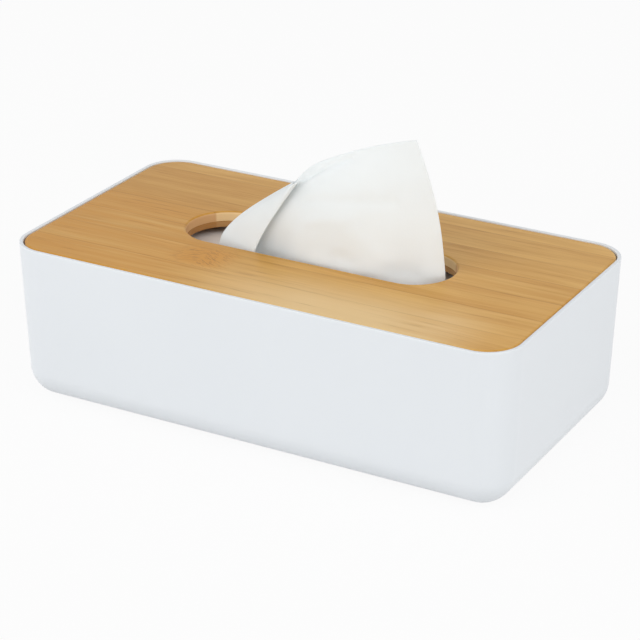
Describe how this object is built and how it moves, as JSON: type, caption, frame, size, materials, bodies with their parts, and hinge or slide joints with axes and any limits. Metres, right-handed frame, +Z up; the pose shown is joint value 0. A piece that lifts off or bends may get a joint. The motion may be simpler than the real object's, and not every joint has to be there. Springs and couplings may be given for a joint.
{
  "type": "tissue box holder",
  "caption": "Moulded box with rounded corners and a bamboo lid let into its rim; tissues are drawn up through a long rounded slot in the lid, which lifts off for refilling.",
  "frame": {"origin": "middle of the underside", "axes": "+X along the box, +Y to its back, +Z up"},
  "size_m": [0.26, 0.14, 0.1429],
  "materials": {
    "white_plastic": "satin moulded white plastic with a fine even texture",
    "bamboo_face": "satin lacquered bamboo, strips along the box",
    "bamboo_under": "darker bamboo ply, satin lacquer on the cut edge",
    "tissue_paper": "soft two-ply tissue, matte"
  },
  "bodies": {
    "box": {"box_body": "white_plastic", "tissue_stack": "tissue_paper", "top_tissue": "tissue_paper"},
    "lid": {"lid_panel": "bamboo_face", "lid_under_ply": "bamboo_under"}
  },
  "joints": [
    {"name": "lid_lift", "type": "slide", "parent": "box", "child": "lid", "axis": [0, 0, 1], "range_m": [0, 0.09]}
  ]
}
